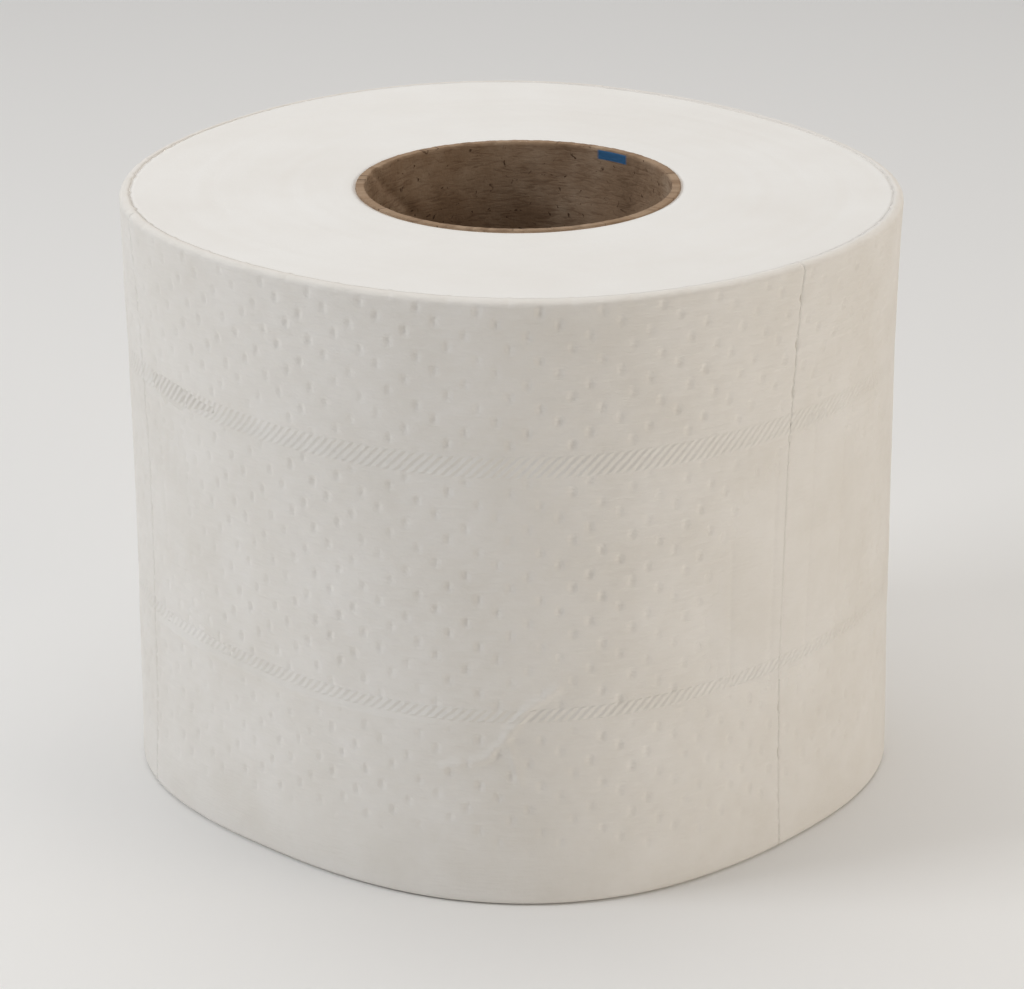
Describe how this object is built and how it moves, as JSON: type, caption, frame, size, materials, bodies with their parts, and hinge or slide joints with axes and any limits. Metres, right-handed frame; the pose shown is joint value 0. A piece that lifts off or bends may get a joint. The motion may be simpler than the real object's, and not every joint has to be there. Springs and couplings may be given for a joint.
{
  "type": "toilet paper roll",
  "caption": "Roll of white embossed tissue wound on a plain grey-brown board core, standing on its end, open right through for a holder's rod.",
  "frame": {"origin": "on the roll's axis, in the plane of the end that it stands on", "axes": "+Z along the roll's axis, up out of the core; -Y faces the viewer and the sheet's loose end lies at the back, towards +Y"},
  "size_m": [0.1147, 0.1148, 0.09],
  "materials": {
    "tissue_paper": "matte",
    "core_board": "matte"
  },
  "bodies": {
    "root": {"tissue_roll": "tissue_paper", "cardboard_core": "core_board"}
  },
  "joints": []
}
